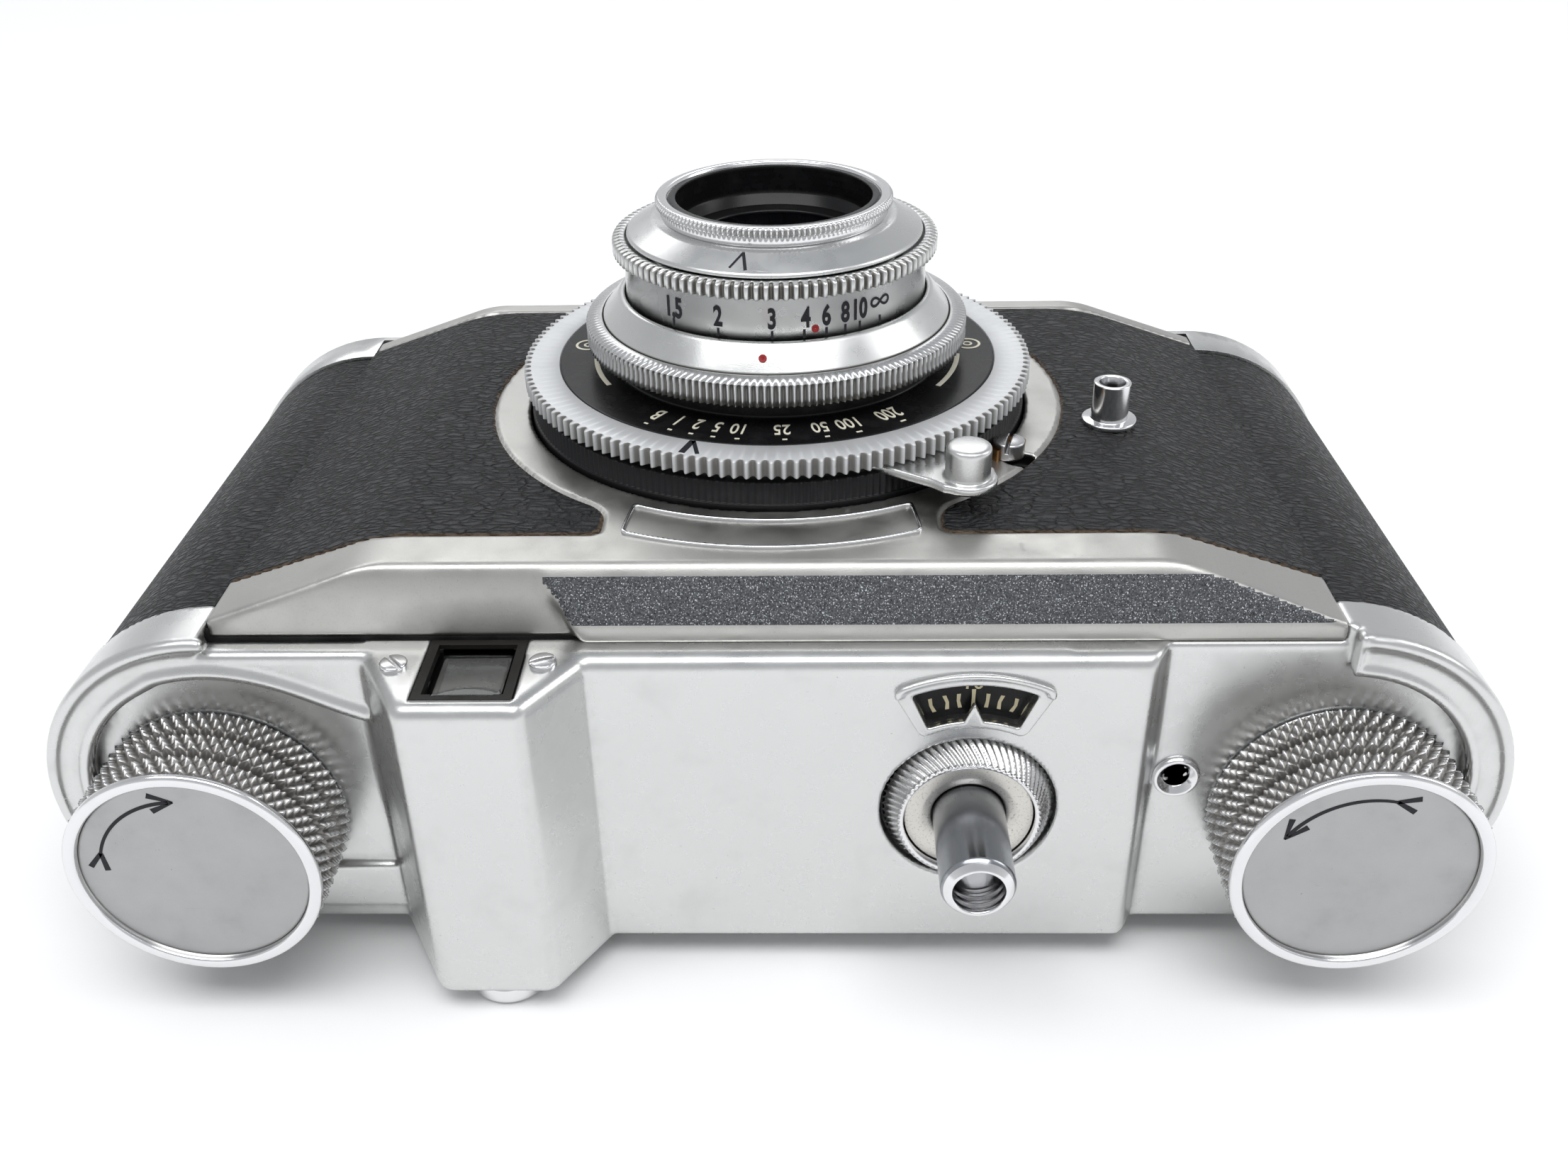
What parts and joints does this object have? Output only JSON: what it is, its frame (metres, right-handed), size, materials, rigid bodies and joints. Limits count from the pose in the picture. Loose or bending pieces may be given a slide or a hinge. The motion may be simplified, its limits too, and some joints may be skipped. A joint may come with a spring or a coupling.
{
  "type": "35 mm viewfinder camera",
  "caption": "Viewfinder camera for 35 mm film lying on its back: round-ended metal body, finder housing, two knobs, leaf shutter and focusing lens.",
  "frame": {"origin": "on the lens axis, in the flat plane of the back that the camera lies on", "axes": "+Z along the lens axis, out of the lens; +Y towards the base and its tripod socket, -Y towards the top plate; +X to the viewer's right, the film advance knob"},
  "size_m": [0.1222, 0.0743, 0.058],
  "materials": {
    "black_leather": "black, fine grain",
    "black_paint": "satin black",
    "black_plastic": "matt black",
    "blade_steel": "blackened",
    "brass": "turned",
    "bright_chrome": "polished, turned",
    "cast_alloy": "raw casting, blackened inside",
    "optical_glass": "coated",
    "satin_alloy": "satin chromed die casting",
    "satin_chrome": "satin, fine grained",
    "sheet_alloy": "pressed sheet",
    "steel": "ground"
  },
  "bodies": {
    "camera_body": {"chassis": "cast_alloy", "film_wells": "cast_alloy", "film_gate": "cast_alloy", "front_casting": "satin_alloy", "leather_left": "black_leather", "leather_right": "black_leather", "top_cover": "satin_chrome", "finder_tube": "black_plastic", "finder_window": "optical_glass", "finder_eye_lens": "optical_glass", "eyepiece_ring": "bright_chrome", "finder_screws": "bright_chrome", "counter_bezel": "bright_chrome", "release_bush": "bright_chrome", "release_spring": "steel", "side_bush": "bright_chrome", "flash_socket": "bright_chrome", "flash_contact": "black_plastic", "shutter_housing": "black_paint", "shutter_face": "black_paint", "lens_barrel": "satin_chrome", "sync_arm": "brass"},
    "rewind_slider": {"rewind_sleeve": "steel"},
    "rewind": {"rewind_knob": "satin_chrome", "rewind_cap": "bright_chrome", "rewind_shaft": "steel"},
    "advance": {"advance_knob": "satin_chrome", "advance_cap": "bright_chrome", "advance_shaft": "steel", "takeup_spool": "black_plastic"},
    "idler": {"idler_gear": "brass"},
    "sprocket": {"sprocket": "steel"},
    "counter": {"counter_disc": "black_paint", "counter_ring": "bright_chrome"},
    "release": {"release_plunger": "bright_chrome"},
    "speed_ring": {"speed_ring": "satin_chrome"},
    "cocking_lever": {"cocking_lever": "bright_chrome"},
    "blade_ring": {"blade_ring": "steel"},
    "shutter_blade_1": {"shutter_blade_1": "blade_steel"},
    "shutter_blade_2": {"shutter_blade_2": "blade_steel"},
    "shutter_blade_3": {"shutter_blade_3": "blade_steel"},
    "clamp_ring": {"clamp_ring": "satin_chrome"},
    "focus_ring": {"focus_ring": "satin_chrome"},
    "lens": {"lens_cell": "bright_chrome", "retaining_ring": "black_paint", "front_lens": "optical_glass", "rear_lens": "optical_glass"},
    "aperture_ring": {"aperture_ring": "satin_chrome"},
    "back": {"back_shell": "sheet_alloy", "back_leather": "black_leather", "base_cover": "satin_chrome", "tripod_bush": "brass", "pressure_plate": "steel"},
    "lock_key_1": {"lock_key_1": "steel"},
    "lock_key_2": {"lock_key_2": "steel"},
    "iris_blade_1": {"iris_blade_1": "blade_steel"},
    "iris_blade_2": {"iris_blade_2": "blade_steel"},
    "iris_blade_3": {"iris_blade_3": "blade_steel"},
    "iris_blade_4": {"iris_blade_4": "blade_steel"},
    "iris_blade_5": {"iris_blade_5": "blade_steel"}
  },
  "joints": [
    {"name": "rewind_lift", "type": "slide", "parent": "camera_body", "child": "rewind_slider", "axis": [0, -1, 0], "range_m": [0, 0.006]},
    {"name": "rewind_turn", "type": "hinge", "parent": "rewind_slider", "child": "rewind", "pos_m": [-0.047, -0.04, 0.0156], "axis": [0, 1, 0], "continuous": true},
    {"name": "advance_turn", "type": "hinge", "parent": "camera_body", "child": "advance", "pos_m": [0.047, -0.04, 0.0156], "axis": [0, -1, 0], "continuous": true},
    {"name": "idler_turn", "type": "hinge", "parent": "camera_body", "child": "idler", "pos_m": [0.03401, -0.032, 0.01618], "axis": [0, -1, 0], "continuous": true},
    {"name": "sprocket_turn", "type": "hinge", "parent": "camera_body", "child": "sprocket", "pos_m": [0.026, 0, 0.0102], "axis": [0, -1, 0], "continuous": true},
    {"name": "counter_turn", "type": "hinge", "parent": "camera_body", "child": "counter", "pos_m": [0.0162, -0.036, 0.017], "axis": [0, -1, 0], "continuous": true},
    {"name": "release_press", "type": "slide", "parent": "camera_body", "child": "release", "axis": [0, 1, 0], "range_m": [0, 0.003], "stiffness_N_per_m": 200, "springref_m": -0.0015, "deforming": ["release_spring"]},
    {"name": "speed_turn", "type": "hinge", "parent": "camera_body", "child": "speed_ring", "pos_m": [0, 0, 0.0419], "axis": [0, 0, 1], "range_deg": [-15, 54]},
    {"name": "cocking", "type": "hinge", "parent": "camera_body", "child": "cocking_lever", "pos_m": [0, 0, 0.0406], "axis": [0, 0, 1], "range_deg": [-40, 0], "stiffness_Nm_per_rad": 0.01, "springref_deg": 11.46},
    {"name": "blade_drive", "type": "hinge", "parent": "camera_body", "child": "blade_ring", "pos_m": [0, 0, 0.0372], "axis": [0, 0, 1], "range_deg": [0, 34], "stiffness_Nm_per_rad": 0.005, "springref_deg": -11.46},
    {"name": "blade_swing_1", "type": "hinge", "parent": "camera_body", "child": "shutter_blade_1", "pos_m": [0.0155, 0, 0.0342], "axis": [0, 0, 1], "range_deg": [0, 34]},
    {"name": "blade_swing_2", "type": "hinge", "parent": "camera_body", "child": "shutter_blade_2", "pos_m": [-0.00775, 0.01342, 0.0342], "axis": [0, 0, 1], "range_deg": [0, 34]},
    {"name": "blade_swing_3", "type": "hinge", "parent": "camera_body", "child": "shutter_blade_3", "pos_m": [-0.00775, -0.01342, 0.0342], "axis": [0, 0, 1], "range_deg": [0, 34]},
    {"name": "clamp_turn", "type": "hinge", "parent": "camera_body", "child": "clamp_ring", "pos_m": [0, 0, 0.0458], "axis": [0, 0, 1], "range_deg": [0, 50]},
    {"name": "focus_turn", "type": "hinge", "parent": "camera_body", "child": "focus_ring", "pos_m": [0, 0, 0.0532], "axis": [0, 0, 1], "range_deg": [-46, 36]},
    {"name": "lens_focus", "type": "slide", "parent": "camera_body", "child": "lens", "axis": [0, 0, 1], "range_m": [-0.00096, 0.00076]},
    {"name": "aperture_turn", "type": "hinge", "parent": "lens", "child": "aperture_ring", "pos_m": [0, 0, 0.0572], "axis": [0, 0, 1], "range_deg": [0, 60]},
    {"name": "iris_swing_1", "type": "hinge", "parent": "lens", "child": "iris_blade_1", "pos_m": [0.0083, 0, 0.0452], "axis": [0, 0, 1], "range_deg": [0, 30]},
    {"name": "iris_swing_2", "type": "hinge", "parent": "lens", "child": "iris_blade_2", "pos_m": [0.00257, 0.00789, 0.0452], "axis": [0, 0, 1], "range_deg": [0, 30]},
    {"name": "iris_swing_3", "type": "hinge", "parent": "lens", "child": "iris_blade_3", "pos_m": [-0.00671, 0.00488, 0.0452], "axis": [0, 0, 1], "range_deg": [0, 30]},
    {"name": "iris_swing_4", "type": "hinge", "parent": "lens", "child": "iris_blade_4", "pos_m": [-0.00671, -0.00488, 0.0452], "axis": [0, 0, 1], "range_deg": [0, 30]},
    {"name": "iris_swing_5", "type": "hinge", "parent": "lens", "child": "iris_blade_5", "pos_m": [0.00257, -0.00789, 0.0452], "axis": [0, 0, 1], "range_deg": [0, 30]},
    {"name": "back_slide", "type": "slide", "parent": "camera_body", "child": "back", "axis": [0, 1, 0], "range_m": [0, 0.075]},
    {"name": "lock_turn_1", "type": "hinge", "parent": "back", "child": "lock_key_1", "pos_m": [-0.03, 0.0256, 0.018], "axis": [0, 1, 0], "range_deg": [0, 90]},
    {"name": "lock_turn_2", "type": "hinge", "parent": "back", "child": "lock_key_2", "pos_m": [0.03, 0.0256, 0.018], "axis": [0, 1, 0], "range_deg": [0, 90]}
  ],
  "couplings": [
    {"joint": "idler_turn", "follows": "advance_turn", "ratio": -1.6},
    {"joint": "sprocket_turn", "follows": "advance_turn", "ratio": 1.6},
    {"joint": "counter_turn", "follows": "advance_turn", "ratio": -0.04},
    {"joint": "lens_focus", "follows": "focus_turn", "m_per_rad": 0.00119},
    {"joint": "blade_swing_1", "follows": "blade_drive", "ratio": 1},
    {"joint": "blade_swing_2", "follows": "blade_drive", "ratio": 1},
    {"joint": "blade_swing_3", "follows": "blade_drive", "ratio": 1},
    {"joint": "iris_swing_1", "follows": "aperture_turn", "ratio": 0.5},
    {"joint": "iris_swing_2", "follows": "aperture_turn", "ratio": 0.5},
    {"joint": "iris_swing_3", "follows": "aperture_turn", "ratio": 0.5},
    {"joint": "iris_swing_4", "follows": "aperture_turn", "ratio": 0.5},
    {"joint": "iris_swing_5", "follows": "aperture_turn", "ratio": 0.5}
  ]
}
